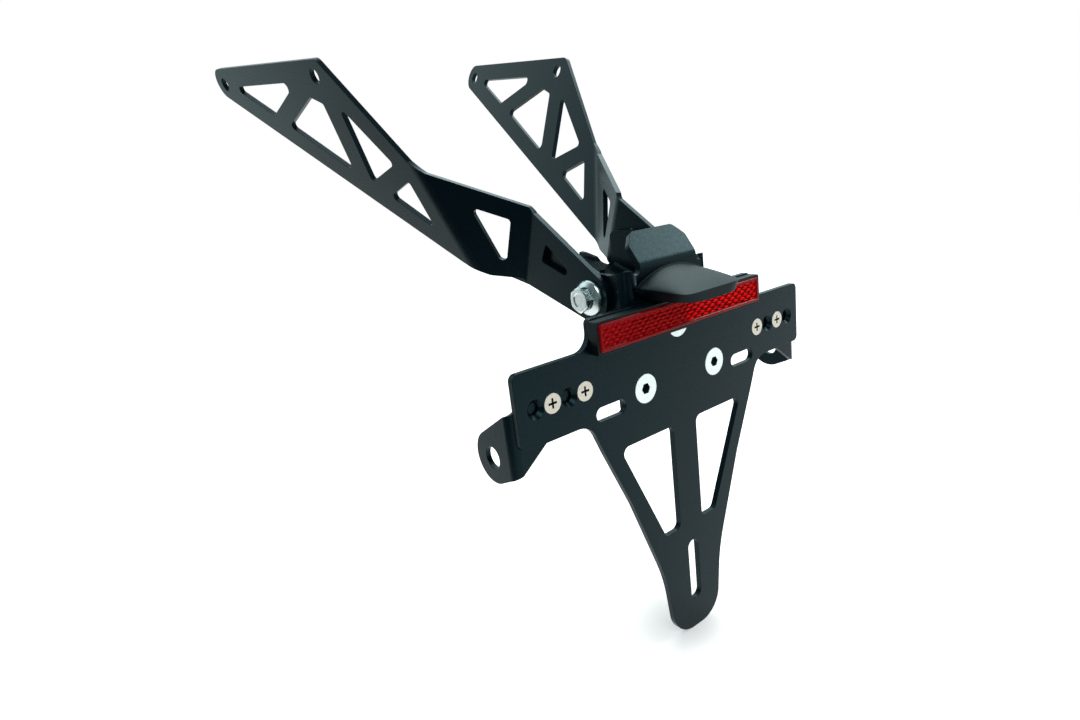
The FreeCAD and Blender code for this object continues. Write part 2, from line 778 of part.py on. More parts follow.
inner_back = lamp_back - lamp_wall
inner_front = lamp_front + lamp_wall
shell = Part.makeLoft([lamp_section(lamp_back, lamp_low, 0),
                       lamp_section(lamp_front, lamp_low, 0)], True, True)
shell = shell.common(lamp_plan(lamp_front, lamp_back, lamp_low - 1, size("lamp_crest") + 9, 0,
                               size("lamp_corner")))
hollow = Part.makeLoft([lamp_section(inner_back, lamp_low - 1, lamp_wall),
                        lamp_section(inner_front, lamp_low - 1, lamp_wall)], True, True)
lamp = shell.cut(hollow)
boss_holes = [web_hole(0, web_screw_z, 2.4)]
for side in (1, -1):
    lamp = lamp.fuse(Part.makeCylinder(2.5, 6.0, V(side * size("lamp_screw_x"), inner_back + 0.2,
                                                   web_screw_z), V(0, -1, 0)))
    boss_holes.append(web_hole(side * size("lamp_screw_x"), web_screw_z, 1.5))
feature("lamp_housing", lamp.cut(boss_holes).removeSplitter())

# Lamp lens: a clear pane that closes the underside, and the board with its LEDs above it.
lens_low = lamp_low + 0.05
lens_high = lens_low + 1.2
board_low = lens_high + 0.7
feature("lamp_lens", lamp_plan(inner_front + fit, inner_back - fit, lens_low, lens_high,
                               lamp_wall + fit, 0.5))
board = Part.makeBox(16.0, 9.0, 1.0, V(-8, inner_back - 9, board_low))
for x in (-5.0, 0.0, 5.0):
    board = board.fuse(Part.makeBox(2.8, 3.5, 0.6, V(x - 1.4, inner_back - 6.5,
                                                      board_low - 0.55)))
feature("lamp_board", board.removeSplitter())

# Cable grommet: a rubber ring in the web behind the lamp, empty because no cable is seen.
cable_radius = size("cable_hole") / 2
grommet = Part.makeCylinder(cable_radius, sheet_thick, V(0, web_y, web_screw_z), V(0, 1, 0))
grommet = grommet.fuse(Part.makeCylinder(cable_radius + 1.2, 1.3, V(0, web_back, web_screw_z),
                                         V(0, 1, 0)))
feature("cable_grommet", grommet.cut(web_hole(0, web_screw_z, 1.8)).removeSplitter())


# Indicator brackets: a flange behind each wing, folded forward at the wing's end into an ear
# with the indicator's hole in its round end.
def indicator_shape():
    t = size("indicator_thick")
    outer = size("indicator_bend") + t
    flange_y = size("plate_thick")
    ear_x = size("wing_half") + size("indicator_out")
    turn_x = ear_x - outer
    ear_y = flange_y + outer
    hole_y = size("indicator_y")
    hole_z = size("indicator_z")
    r = size("indicator_round")
    low_turn = hole_z - 4.8
    high_turn = hole_z + 19.0
    low_ear = hole_z - 6.6
    high_ear = hole_z + 17.6
    z = size("row_z")
    left = size("row_x") - 6.5
    flange = flat([(V(turn_x, flange_y, low_turn), 0), (V(turn_x, flange_y, high_turn), 0),
                   (V(turn_x - 6, flange_y, z + 6.5), 4.0), (V(left, flange_y, z + 6.5), 5.0),
                   (V(left, flange_y, z - 6.5), 5.0), (V(ear_x - 23, flange_y, z - 6.5), 12.0),
                   (V(ear_x - 15, flange_y, hole_z + 3.8), 6.0)], V(0, 1, 0), t)
    start = V(turn_x, flange_y, 0)
    turn = bend(start, V(0, 0, 1), V(0, 1, 0), outer, t, (low_turn, high_turn),
                (low_ear, high_ear), 90.0)
    centre = V(ear_x, hole_y, hole_z)

    def tangent(from_z, side):
        start = V(centre.x, ear_y, from_z)
        gap = V(0, start.y - centre.y, start.z - centre.z)
        spread = math.acos(r / gap.Length)
        turned = math.atan2(gap.z, gap.y) + side * spread
        return V(centre.x, centre.y + r * math.cos(turned), centre.z + r * math.sin(turned))

    high_touch = tangent(high_ear, -1)
    low_touch = tangent(low_ear, 1)
    far = centre + V(0, 0.82 * r, -0.57 * r)
    edges = [
        Part.LineSegment(V(centre.x, ear_y, low_ear), V(centre.x, ear_y, high_ear)).toShape(),
        Part.LineSegment(V(centre.x, ear_y, high_ear), high_touch).toShape(),
        Part.Arc(high_touch, far, low_touch).toShape(),
        Part.LineSegment(low_touch, V(centre.x, ear_y, low_ear)).toShape(),
    ]
    ear = Part.Face(Part.Wire(edges)).extrude(V(-t, 0, 0))
    shape = flange.fuse([turn, ear])
    cutters = [Part.makeCylinder(size("indicator_bore") / 2, 20.0, centre + V(-10, 0, 0),
                                 V(1, 0, 0))]
    for k in (0, 2):
        cutters.append(Part.makeCylinder(size("small_bore") / 2, 10.0,
                                         V(row_holes[k], flange_y - 3, z), V(0, 1, 0)))
    return shape.cut(cutters).removeSplitter()


right_indicator = indicator_shape()
feature("right_indicator_bracket", right_indicator)
feature("left_indicator_bracket", right_indicator.mirror(V(0, 0, 0), V(1, 0, 0)))


# Fasteners. Each is turned about its own Y axis, head towards -Y, and then set in place.
def turned(body, name, profile):
    sketch = new_sketch(body, name + "_profile", "XY_Plane")
    add_outline(sketch, [(x, y, 0) for x, y in profile])
    made = body.newObject("PartDesign::Revolution", name)
    made.Profile = sketch
    made.ReferenceAxis = (sketch, ["V_Axis"])
    made.Angle = 360
    doc.recompute()
    return made


def hexagon(flats):
    radius = flats / math.sqrt(3)
    return [(radius * math.cos(math.radians(60 * k)), radius * math.sin(math.radians(60 * k)), 0)
            for k in range(6)]


def hex_pocket(body, name, flats, depth):
    sketch = new_sketch(body, name + "_outline", "XZ_Plane")
    add_outline(sketch, hexagon(flats))
    pocket(body, name, sketch, depth)


def groove(body, name, profile):
    before = body.Shape.Volume
    sketch = new_sketch(body, name + "_profile", "XY_Plane")
    add_outline(sketch, [(x, y, 0) for x, y in profile])
    made = body.newObject("PartDesign::Groove", name)
    made.Profile = sketch
    made.ReferenceAxis = (sketch, ["V_Axis"])
    made.Angle = 360
    doc.recompute()
    if body.Shape.Volume > before - 0.001:
        raise ValueError(name + " cuts nothing")


def put(body, point, way):
    body.Placement = FreeCAD.Placement(point, FreeCAD.Rotation(V(0, 1, 0), way))


# A countersunk screw, its head flush with y = 0.
def sunk_screw(name, head, shank, long):
    body = new_body(name)
    r = shank / 2
    turned(body, name + "_form", [(0, 0), (head / 2, 0), (r, head / 2 - r), (r, long - 0.6),
                                  (r - 0.6, long), (0, long)])
    return body


# A hexagon nut seated at y = 0, its outer corners chamfered.
def hex_nut(name, flats, thickness, bore):
    body = new_body(name)
    sketch = new_sketch(body, name + "_outline", "XZ_Plane")
    add_outline(sketch, hexagon(flats))
    add_circle(sketch, 0, 0, bore / 2)
    pad(body, name + "_pad", sketch, thickness, reverse=True)
    doc.recompute()
    far = flats / math.sqrt(3) + 0.2
    near = flats / 2 * 0.96
    drop = (far - near) * 0.577
    high = size(thickness.replace("sizes.", ""))
    groove(body, name + "_edge", [(near, high + 0.01), (far, high - drop), (far, high + 0.01)])
    return body


forward = V(0, 1, 0)
for name, (x, z) in plate_screws.items():
    screw = sunk_screw(name, size("screw_head"), size("shank"), size("screw_long"))
    hex_pocket(screw, name + "_socket", 4.0, "2.2")
    put(screw, V(x, 0, z), forward)
    nut = hex_nut(name.replace("screw", "nut"), size("nut_flats"), "sizes.nut_thick",
                  size("shank"))
    put(nut, V(x, web_back, z), forward)

# Indicator bracket screws: cross recess heads, with nuts behind the flange.
for side, word in ((-1, "left"), (1, "right")):
    for k, place in ((0, "inner"), (2, "outer")):
        name = "indicator_screw_%s_%s" % (word, place)
        screw = sunk_screw(name, size("small_head"), size("small_shank"), size("small_long"))
        cross = new_sketch(screw, name + "_cross", "XZ_Plane")
        arm = 1.9
        half = 0.42
        add_outline(cross, [(arm, half, 0), (half, half, 0), (half, arm, 0), (-half, arm, 0),
                            (-half, half, 0), (-arm, half, 0), (-arm, -half, 0),
                            (-half, -half, 0), (-half, -arm, 0), (half, -arm, 0),
                            (half, -half, 0), (arm, -half, 0)])
        pocket(screw, name + "_recess", cross, "1.3")
        put(screw, V(side * row_holes[k], 0, size("row_z")), forward)
        nut = hex_nut("indicator_nut_%s_%s" % (word, place), size("small_nut_flats"),
                      "sizes.small_nut_thick", size("small_shank"))
        put(nut, V(side * row_holes[k], web_y + size("indicator_thick"), size("row_z")), forward)

# Lamp screws: small pan heads in front of the web, their shanks in the housing's bosses.
for side, word in ((-1, "left"), (1, "right")):
    name = "lamp_screw_" + word
    screw = new_body(name)
    turned(screw, name + "_form", [(0, -2), (2.0, -2), (2.7, -1.3), (2.7, 0), (1.5, 0),
                                   (1.5, 7.2), (1.2, 7.8), (0, 7.8)])
    slot = new_sketch(screw, name + "_slot", "XZ_Plane", 1.2)
    add_outline(slot, [(-1.4, -0.3, 0), (1.4, -0.3, 0), (1.4, 0.3, 0), (-1.4, 0.3, 0)])
    pocket(screw, name + "_recess", slot, "2", reverse=True)
    put(screw, V(side * size("lamp_screw_x"), web_back, web_screw_z), V(0, -1, 0))

# Pivot sets: a flanged bolt through arm and ear, a washer and a lock nut inside each ear.
washer_x = ear_x - sheet_thick - size("side_gap")
nut_x = washer_x - size("washer_thick")
for side, word in ((-1, "left"), (1, "right")):
    inwards = V(-side, 0, 0)
    name = "pivot_bolt_" + word
    bolt = new_body(name)
    r = size("shank") / 2
    flange = size("flange_wide") / 2
    head_x = size("arm_x") + thick
    long = head_x - nut_x + size("lock_nut_thick") + 1.5
    turned(bolt, name + "_form", [(0, -1.2), (0, -2.2), (4.6, -2.2), (flange, -1.1),
                                  (flange, 0), (r, 0), (r, long - 0.7), (r - 0.7, long),
                                  (0, long)][1:])
    head = new_sketch(bolt, name + "_head", "XZ_Plane", 1.5)
    add_outline(head, hexagon(size("head_flats")))
    pad(bolt, name + "_pad", head, "4.5")
    doc.recompute()
    far = size("head_flats") / math.sqrt(3) + 0.2
    near = size("head_flats") / 2 * 0.94
    drop = (far - near) * 0.577
    groove(bolt, name + "_edge", [(near, -6.01), (far, -6.01), (far, -6.0 + drop)])
    groove(bolt, name + "_dish", [(0, -6.01), (2.6, -6.01), (2.2, -5.6), (0, -5.6)])
    put(bolt, V(side * head_x, pivot.y, pivot.z), inwards)
    washer = new_body("pivot_washer_" + word)
    turned(washer, "pivot_washer_form_" + word,
           [(r + 0.1, 0), (size("washer_wide") / 2, 0),
            (size("washer_wide") / 2, size("washer_thick")), (r + 0.1, size("washer_thick"))])
    put(washer, V(side * washer_x, pivot.y, pivot.z), inwards)
    nut = hex_nut("pivot_nut_" + word, size("nut_flats"), "sizes.lock_nut_thick",
                  size("shank"))
    put(nut, V(side * nut_x, pivot.y, pivot.z), inwards)

# Check every object, then write one file for each piece.
doc.recompute()
for item in doc.Objects:
    if "Invalid" in item.State or "Error" in item.State:
        raise ValueError(item.Name + " failed to build")
pieces = [item for item in doc.Objects if item.TypeId in ("Part::Feature", "PartDesign::Body")]
for piece in pieces:
    if piece.Shape.isNull() or not piece.Shape.isValid() or len(piece.Shape.Solids) != 1:
        raise ValueError(piece.Label + " has no sound solid")
for piece in pieces:
    piece.Shape.exportStep("parts/" + piece.Label + ".step")
print(len(pieces), "pieces written")
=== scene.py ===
import math

import bmesh
import bpy
from mathutils import Matrix, Vector


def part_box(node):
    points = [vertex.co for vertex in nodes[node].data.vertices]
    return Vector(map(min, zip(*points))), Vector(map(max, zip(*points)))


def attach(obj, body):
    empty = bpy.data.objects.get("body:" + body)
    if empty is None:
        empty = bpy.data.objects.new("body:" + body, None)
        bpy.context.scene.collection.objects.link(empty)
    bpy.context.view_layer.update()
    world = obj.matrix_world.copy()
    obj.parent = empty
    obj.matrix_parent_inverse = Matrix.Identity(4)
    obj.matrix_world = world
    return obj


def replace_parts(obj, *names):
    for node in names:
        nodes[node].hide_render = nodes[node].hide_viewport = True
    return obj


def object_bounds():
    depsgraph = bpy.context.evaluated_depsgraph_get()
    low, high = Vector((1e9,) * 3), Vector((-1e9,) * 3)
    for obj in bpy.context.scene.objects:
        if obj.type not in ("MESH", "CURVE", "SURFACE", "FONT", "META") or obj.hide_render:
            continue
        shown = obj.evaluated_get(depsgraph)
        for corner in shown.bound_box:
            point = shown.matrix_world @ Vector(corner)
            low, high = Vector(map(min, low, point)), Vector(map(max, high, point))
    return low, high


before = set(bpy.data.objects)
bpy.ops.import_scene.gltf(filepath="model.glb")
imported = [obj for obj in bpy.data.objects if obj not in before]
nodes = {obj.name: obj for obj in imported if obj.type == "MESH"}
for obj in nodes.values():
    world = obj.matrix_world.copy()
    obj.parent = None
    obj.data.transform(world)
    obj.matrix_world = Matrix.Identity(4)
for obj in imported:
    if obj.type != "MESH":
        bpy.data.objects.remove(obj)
cad_low, cad_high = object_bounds()
scene = bpy.context.scene
scene.view_settings.view_transform = "Standard"

# Camera: fitted to the photograph of the tail tidy, from its left and a little above.
# The picture is 1080 by 720, and the camera's roll gives the carrier its lean.
AZIMUTH = 0.63192
ELEVATION = 0.26417
ROLL = -0.12404
CAMERA_PLACE = (-0.202851, -0.180981, 0.088582)
FOCAL_PIXELS = 681.71
PICTURE_PIXELS = 1080
SENSOR_WIDE = 36.0
look = Vector((math.sin(AZIMUTH) * math.cos(ELEVATION),
               math.cos(AZIMUTH) * math.cos(ELEVATION), -math.sin(ELEVATION)))
level = look.cross(Vector((0, 0, 1))).normalized()
above = level.cross(look)
right = level * math.cos(ROLL) + above * math.sin(ROLL)
up = above * math.cos(ROLL) - level * math.sin(ROLL)
camera_data = bpy.data.cameras.new("camera")
camera_data.sensor_width = SENSOR_WIDE
camera_data.lens = FOCAL_PIXELS * SENSOR_WIDE / PICTURE_PIXELS
camera_data.clip_start = 0.01
camera = bpy.data.objects.new("camera", camera_data)
camera.matrix_world = (Matrix.Translation(CAMERA_PLACE)
                       @ Matrix((right, up, -look)).transposed().to_4x4())
scene.collection.objects.link(camera)
scene.camera = camera

# Stage: a pale board just under the carrier's tip, white to the camera and grey to metal and
# glass. Round the tip its glow is turned down, a painted soft shadow beside the object's own.
floor_plan = ((-0.30, -0.60), (1.35, -0.60), (1.35, 1.40), (-1.20, 1.40), (-0.30, 0.30))
floor_gap = 0.0003
floor_z = cad_low.z - floor_gap
shadow_middle = (-0.006, 0.010, floor_z)
shadow_inner = 0.002
shadow_outer = 0.050
shadow_glow = 0.35
open_glow = 1.1
mirrored_glow = 0.45
floor_mesh = bpy.data.meshes.new("floor")
shape = bmesh.new()
shape.faces.new([shape.verts.new((x, y, floor_z)) for x, y in floor_plan])
shape.to_mesh(floor_mesh)
shape.free()
floor = bpy.data.objects.new("floor", floor_mesh)
scene.collection.objects.link(floor)


def new_material(name):
    made = bpy.data.materials.new(name)
    made.use_nodes = True
    tree = made.node_tree
    tree.nodes.clear()
    return made, tree, tree.nodes.new("ShaderNodeOutputMaterial")


def feed(tree, value, socket):
    if isinstance(value, bpy.types.NodeSocket):
        tree.links.new(value, socket)
    else:
        socket.default_value = value


def worked(tree, operation, *values, clamp=False):
    node = tree.nodes.new("ShaderNodeMath")
    node.operation = operation
    node.use_clamp = clamp
    for value, socket in zip(values, node.inputs):
        feed(tree, value, socket)
    return node.outputs[0]


def ranged(tree, value, from_low, from_high, low, high, smooth=True):
    node = tree.nodes.new("ShaderNodeMapRange")
    node.interpolation_type = "SMOOTHSTEP" if smooth else "LINEAR"
    for name, number in (("Value", value), ("From Min", from_low), ("From Max", from_high),
                         ("To Min", low), ("To Max", high)):
        feed(tree, number, node.inputs[name])
    return node.outputs["Result"]


# Whether a ray comes from the camera, and whether it comes by way of metal or glass.
def ray_kinds(tree):
    path = tree.nodes.new("ShaderNodeLightPath")
    mirrored = worked(tree, "ADD", path.outputs["Is Glossy Ray"],
                      path.outputs["Is Transmission Ray"])
    return path.outputs["Is Camera Ray"], mirrored


floor_material, tree, output = new_material("pale_board")
diffuse = tree.nodes.new("ShaderNodeBsdfDiffuse")
diffuse.inputs["Color"].default_value = (0.76, 0.68, 0.67, 1)
glow = tree.nodes.new("ShaderNodeEmission")
glow.inputs["Color"].default_value = (0.98, 1.0, 0.985, 1)
where = tree.nodes.new("ShaderNodeTexCoord")
reach = tree.nodes.new("ShaderNodeVectorMath")
reach.operation = "DISTANCE"
reach.inputs[1].default_value = shadow_middle
feed(tree, where.outputs["Object"], reach.inputs[0])
# Painted shadow: near the tip the camera sees less glow, so the board is darker there.
paler = ranged(tree, reach.outputs["Value"], shadow_inner, shadow_outer, shadow_glow, open_glow)
from_camera, mirrored = ray_kinds(tree)
strength = worked(tree, "ADD", worked(tree, "MULTIPLY", from_camera, paler),
                  worked(tree, "MULTIPLY", mirrored, mirrored_glow))
feed(tree, strength, glow.inputs["Strength"])
both = tree.nodes.new("ShaderNodeAddShader")
feed(tree, diffuse.outputs[0], both.inputs[0])
feed(tree, glow.outputs[0], both.inputs[1])
feed(tree, both.outputs[0], output.inputs["Surface"])
floor_mesh.materials.append(floor_material)

# Surround: a white backdrop stands behind the object, and metal and glass mirror it. The room
# on the camera's side is dim, so that the black coat stays dark.
backdrop_way = (0.55, 0.80, 0.25)
backdrop_edge = (0.08, 0.45)
room_strength = 0.13
world = bpy.data.worlds.new("surround")
scene.world = world
world.use_nodes = True
tree = world.node_tree
tree.nodes.clear()
output = tree.nodes.new("ShaderNodeOutputWorld")


def background(colour, strength=1.0):
    node = tree.nodes.new("ShaderNodeBackground")
    node.inputs["Color"].default_value = (*colour, 1)
    node.inputs["Strength"].default_value = strength
    return node.outputs[0]


def mixed(share, first, second):
    node = tree.nodes.new("ShaderNodeMixShader")
    for value, socket in zip((share, first, second), node.inputs):
        feed(tree, value, socket)
    return node.outputs[0]


way = tree.nodes.new("ShaderNodeTexCoord")
facing = tree.nodes.new("ShaderNodeVectorMath")
facing.operation = "DOT_PRODUCT"
facing.inputs[1].default_value = backdrop_way
feed(tree, way.outputs["Generated"], facing.inputs[0])
backdrop = ranged(tree, facing.outputs["Value"], *backdrop_edge, 0.0, 1.0)
from_camera, mirrored = ray_kinds(tree)
shown = worked(tree, "ADD", worked(tree, "MULTIPLY", mirrored, 0.5), 0.5, clamp=True)
shown = worked(tree, "MULTIPLY", shown, backdrop)
dim = background((0.70, 0.95, 1.0), room_strength)
bright = background((0.80, 0.98, 1.0))
white = background((1, 1, 1))
feed(tree, mixed(from_camera, mixed(shown, dim, bright), white), output.inputs["Surface"])


# Lights: four soft panels, one above, one in front and two from the right, of which one is
# low. They are a little cooler than white, like the light on the photographed sheets.
def soft_light(name, place, target, wide, high, power):
    data = bpy.data.lights.new(name, "AREA")
    data.shape = "RECTANGLE"
    data.size = wide
    data.size_y = high
    data.energy = power
    data.color = (0.82, 0.98, 1.0)
    light = bpy.data.objects.new(name, data)
    light.location = place
    light.rotation_euler = (Vector(target) - Vector(place)).to_track_quat("-Z", "Y").to_euler()
    scene.collection.objects.link(light)


soft_light("top_light", (0.52, 0.45, 0.82), (0, 0.05, 0), 0.9, 0.6, 4.5)
soft_light("front_light", (-0.55, -0.75, 0.95), (0, 0.02, 0), 0.8, 0.6, 5.5)
soft_light("side_light", (0.93, -0.40, 0.72), (0, 0, 0), 0.45, 0.4, 3.0)
soft_light("low_light", (1.05, -0.88, 0.28), (0, 0, 0), 0.9, 0.75, 1.6)


# Arms, carrier and indicator brackets: laser-cut steel sheet, folded and then powder coated
# satin black. The coat has a fine orange peel and rounds every edge a little.
def principled(name, values):
    made, tree, output = new_material(name)
    shader = tree.nodes.new("ShaderNodeBsdfPrincipled")
    for socket, value in values.items():
        shader.inputs[socket].default_value = value
    feed(tree, shader.outputs[0], output.inputs["Surface"])
    return made, tree, shader


def object_place(tree):
    return tree.nodes.new("ShaderNodeTexCoord").outputs["Object"]


def grain(tree, scale, detail):
    node = tree.nodes.new("ShaderNodeTexNoise")
    node.inputs["Scale"].default_value = scale
    node.inputs["Detail"].default_value = detail
    feed(tree, object_place(tree), node.inputs["Vector"])
    return node.outputs["Fac"]


def two_tone(tree, dark, light, share):
    node = tree.nodes.new("ShaderNodeMix")
    node.data_type = "RGBA"
    feed(tree, dark, node.inputs["A"])
    feed(tree, light, node.inputs["B"])
    feed(tree, share, node.inputs["Factor"])
    return node.outputs["Result"]


def bumped(tree, height, strength, distance):
    node = tree.nodes.new("ShaderNodeBump")
    node.inputs["Strength"].default_value = strength
    node.inputs["Distance"].default_value = distance
    feed(tree, height, node.inputs["Height"])
    return node


# An even surface with a fine grain. Its edges look rounded by edge, and recesses no wider than
# the reach after it get painted shade: their colour is darkened to stand in for shadow.
def plain_surface(name, colour, metallic, roughness, spread, scale, bump_strength, bump_distance,
                  edge=0.0003, shade_reach=0.0, others=None):
    values = {"Base Color": (*colour, 1), "Metallic": metallic}
    values.update(others or {})
    made, tree, shader = principled(name, values)
    if shade_reach:
        # Painted shade: ambient occlusion darkens the base colour to a dark blue in narrow
        # recesses.
        open_sky = tree.nodes.new("ShaderNodeAmbientOcclusion")
        open_sky.samples = 8
        open_sky.only_local = True
        open_sky.inputs["Distance"].default_value = shade_reach
        painted_shade_colour = (colour[0] * 0.03, colour[1] * 0.07, colour[2] * 0.10, 1)
        lit = ranged(tree, open_sky.outputs["AO"], 0.45, 0.85, 0.0, 1.0)
        feed(tree, two_tone(tree, painted_shade_colour, (*colour, 1), lit), shader.inputs["Base Color"])
    soft = tree.nodes.new("ShaderNodeBevel")
    soft.samples = 4
    soft.inputs["Radius"].default_value = edge
    fine = grain(tree, scale, 2.0)
    bump = bumped(tree, fine, bump_strength, bump_distance)
    feed(tree, soft.outputs["Normal"], bump.inputs["Normal"])
    feed(tree, bump.outputs["Normal"], shader.inputs["Normal"])
    vary = ranged(tree, fine, 0.3, 0.7, roughness - spread, roughness + spread, smooth=False)
    feed(tree, vary, shader.inputs["Roughness"])
    return made


def dress(material, *names):
    for name in names:
        for slot in nodes[name].material_slots:
            slot.material = material


powder = plain_surface("black_powder_coat", (0.0010, 0.0045, 0.0085), 0.0, 0.30, 0.04, 1100.0,
                       0.10, 0.0002, 0.0004, others={"Specular IOR Level": 0.24,
                                                     "Specular Tint": (0.48, 0.92, 1.0, 1)})
dress(powder, "left_arm", "right_arm", "plate_carrier", "left_indicator_bracket",
      "right_indicator_bracket")

# Centre bracket: one folded sheet, coated like the rest. Each ear stops short of the arm's knee
# and runs on past a round relief notch as a low finger, with a lip folded in under it.
ear_cut = [(0.0128, 0.0900), (0.0128, 0.0482), (0.0174, 0.0481), (0.0196, 0.0483),
           (0.0250, 0.0512), (0.0304, 0.0548), (0.0360, 0.0583), (0.0376, 0.0592),
           (0.0548, 0.0592), (0.0566, 0.0586), (0.0576, 0.0574), (0.0582, 0.0556),
           (0.0585, 0.0470), (0.0594, 0.0440), (0.0612, 0.0430), (0.0640, 0.0429),
           (0.0662, 0.0433), (0.0682, 0.0442), (0.0705, 0.0464), (0.0780, 0.0484),
           (0.0847, 0.0496), (0.0900, 0.0535), (0.0900, 0.0900)]
ear_cut_half = 0.03
lip_plan = ((0.0216, 0.0565), (0.0120, 0.0565), (0.0120, 0.0640), (0.0135, 0.0668),
            (0.0200, 0.0772), (0.0216, 0.0782))
lip_base = 0.0298
lip_slope = 0.215
lip_thick = 0.0020


def as_copy(name):
    shape = bmesh.new()
    shape.from_mesh(nodes[name].data)
    bmesh.ops.remove_doubles(shape, verts=shape.verts, dist=1e-6)
    return shape


def as_piece(shape, name, body, slot, *materials):
    mesh = bpy.data.meshes.new(name)
    shape.to_mesh(mesh)
    shape.free()
    for material in materials:
        mesh.materials.append(material)
    piece = bpy.data.objects.new(name, mesh)
    scene.collection.objects.link(piece)
    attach(piece, body)
    return piece


def thickened(shape, shift):
    grown = bmesh.ops.extrude_face_region(shape, geom=list(shape.faces))
    moved = [item for item in grown["geom"] if isinstance(item, bmesh.types.BMVert)]
    bmesh.ops.translate(shape, vec=shift, verts=moved)
    bmesh.ops.recalc_face_normals(shape, faces=shape.faces)
    return shape


def prism(corners, shift):
    shape = bmesh.new()
    shape.faces.new([shape.verts.new(corner) for corner in corners])
    return thickened(shape, shift)


def combined(piece, shape, operation):
    mesh = bpy.data.meshes.new("tool")
    shape.to_mesh(mesh)
    shape.free()
    tool = bpy.data.objects.new("tool", mesh)
    scene.collection.objects.link(tool)
    step = piece.modifiers.new("step", "BOOLEAN")
    step.operation = operation
    step.solver = "EXACT"
    step.object = tool
    bpy.context.view_layer.update()
    made = bpy.data.meshes.new_from_object(
        piece.evaluated_get(bpy.context.evaluated_depsgraph_get()))
    piece.modifiers.clear()
    old = piece.data
    piece.data = made
    made.materials.clear()
    made.materials.append(old.materials[0])
    bpy.data.objects.remove(tool)
    bpy.data.meshes.remove(mesh)


bracket = as_piece(as_copy("centre_bracket"), "bracket_sheet", "plate_holder", "black_sheet",
                   powder)
combined(bracket, prism([(-ear_cut_half, y, z) for y, z in ear_cut], (2 * ear_cut_half, 0, 0)),
         "DIFFERENCE")
for side in (-1, 1):
    lip = [(side * x, y, lip_base + lip_slope * y) for x, y in lip_plan]
    combined(bracket, prism(lip, (0, 0, -lip_thick)), "UNION")
bracket.data.name = "bracket_sheet"
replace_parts(bracket, "centre_bracket")

# Lamp housing: a moulded cap screwed to the bracket's web. Its roof runs from an arched rim at
# the back to a round nose in front, and its skirt is open below for the clear pane.
plastic = plain_surface("moulded_black", (0.003, 0.006, 0.0080), 0.0, 0.42, 0.06, 2600.0, 0.18,
                        0.0002, others={"Specular IOR Level": 0.23,
                                        "Specular Tint": (0.74, 0.97, 1.0, 1)})
dress(plastic, "reflector_base")
lamp_low, lamp_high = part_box("lamp_housing")
lamp_back = lamp_high.y
lamp_deep = lamp_high.y - lamp_low.y
lamp_half = lamp_high.x
lamp_wall = 0.0012
side_high = 0.0428
nose_high = 0.0405
crown_high = lamp_high.z - 0.0004
roof_swell = 0.0007
short_roof = 0.008
rim_power = 11.0
rim_taper = 0.0036
skirt_power = 5.5
skirt_half = 0.0168
skirt_low = 0.0366
skirt_lift = 0.0010
boss_out = 0.012
boss_radius = 0.0024
boss_long = 0.0055
boss_middle = (-0.0019, 0.0413)
steps = 72
# The roof's rows from the back: how far along each lies and how far it is lifted. The first
# five make a raised band and a groove, and the others share out what is left evenly.
rows = [(0.0, 0.00035), (0.00095, 0.00035), (0.00115, -0.0002), (0.0018, -0.0002),
        (0.0020, 0.0)] + [(None, 0.0)] * 11
last_row = len(rows) - 1
groove_row = 4


# The nose in plan: a rounded rectangle that narrows forwards by taper. Its share runs from
# the left end at the back to the right one, and is slowed where the corners are.
def nose_line(share, power, half, taper):
    turn = math.pi * (share - math.sin(4 * math.pi * share) / (4 * math.pi))
    deep = abs(math.sin(turn)) ** (2 / power)
    wide = abs(math.cos(turn)) ** (2 / power) * (half - taper * deep)
    x = -wide if math.cos(turn) > 0 else wide
    return x, lamp_back - lamp_deep * deep


def rim_point(share):
    x, y = nose_line(share, rim_power, lamp_half, rim_taper)
    return Vector((x, y, side_high + (nose_high - side_high) * (lamp_back - y) / lamp_deep))


def skirt_point(share):
    x, y = nose_line(share, skirt_power, skirt_half, 0.0)
    return Vector((x, y, skirt_low + skirt_lift * (abs(x) / skirt_half) ** 3))


def roof_point(share, row):
    back_x = -lamp_half * math.cos(math.pi * share)
    rise = 1 - (back_x / lamp_half) ** 2
    back = Vector((back_x, lamp_back, side_high + (crown_high - side_high) * rise))
    front = rim_point(share)
    long = max((front - back).length, short_roof)
    distance, lift = rows[row]
    if distance is None:
        part = (row - groove_row) / (last_row - groove_row)
        along = rows[groove_row][0] / long * (1 - part) + part
    else:
        along = distance / long
    point = back.lerp(front, along)
    point.z += lift * min(1.0, (front - back).length / short_roof)
    point.z += roof_swell * math.sin(math.pi * share) * 4 * along * (1 - along)
    return point


shape = bmesh.new()
bmesh.ops.create_grid(shape, x_segments=steps, y_segments=last_row, size=1.0)
shares = {}
row_of = {}
for vert in shape.verts:
    share = (vert.co.x + 1) / 2
    row = round((vert.co.y + 1) / 2 * last_row)
    shares[vert] = share
    row_of[vert] = row
    vert.co = roof_point(share, row)
front_edges = []
for edge in shape.edges:
    row = row_of[edge.verts[0]]
    if row == row_of[edge.verts[1]]:
        edge.smooth = row == 0 or groove_row < row < last_row
        if row == last_row:
            front_edges.append(edge)
grown = bmesh.ops.extrude_edge_only(shape, edges=front_edges)
low_row = [item for item in grown["geom"] if isinstance(item, bmesh.types.BMVert)]
for vert in low_row:
    above_it = [edge.other_vert(vert) for edge in vert.link_edges]
    vert.co = skirt_point(next(shares[other] for other in above_it if other in shares))
bmesh.ops.remove_doubles(shape, verts=shape.verts, dist=2e-5)
bmesh.ops.recalc_face_normals(shape, faces=shape.faces)
crown = max(shape.faces, key=lambda face: face.calc_center_median().z)
if crown.normal.z < 0:
    bmesh.ops.reverse_faces(shape, faces=shape.faces)
for face in shape.faces:
    face.smooth = True
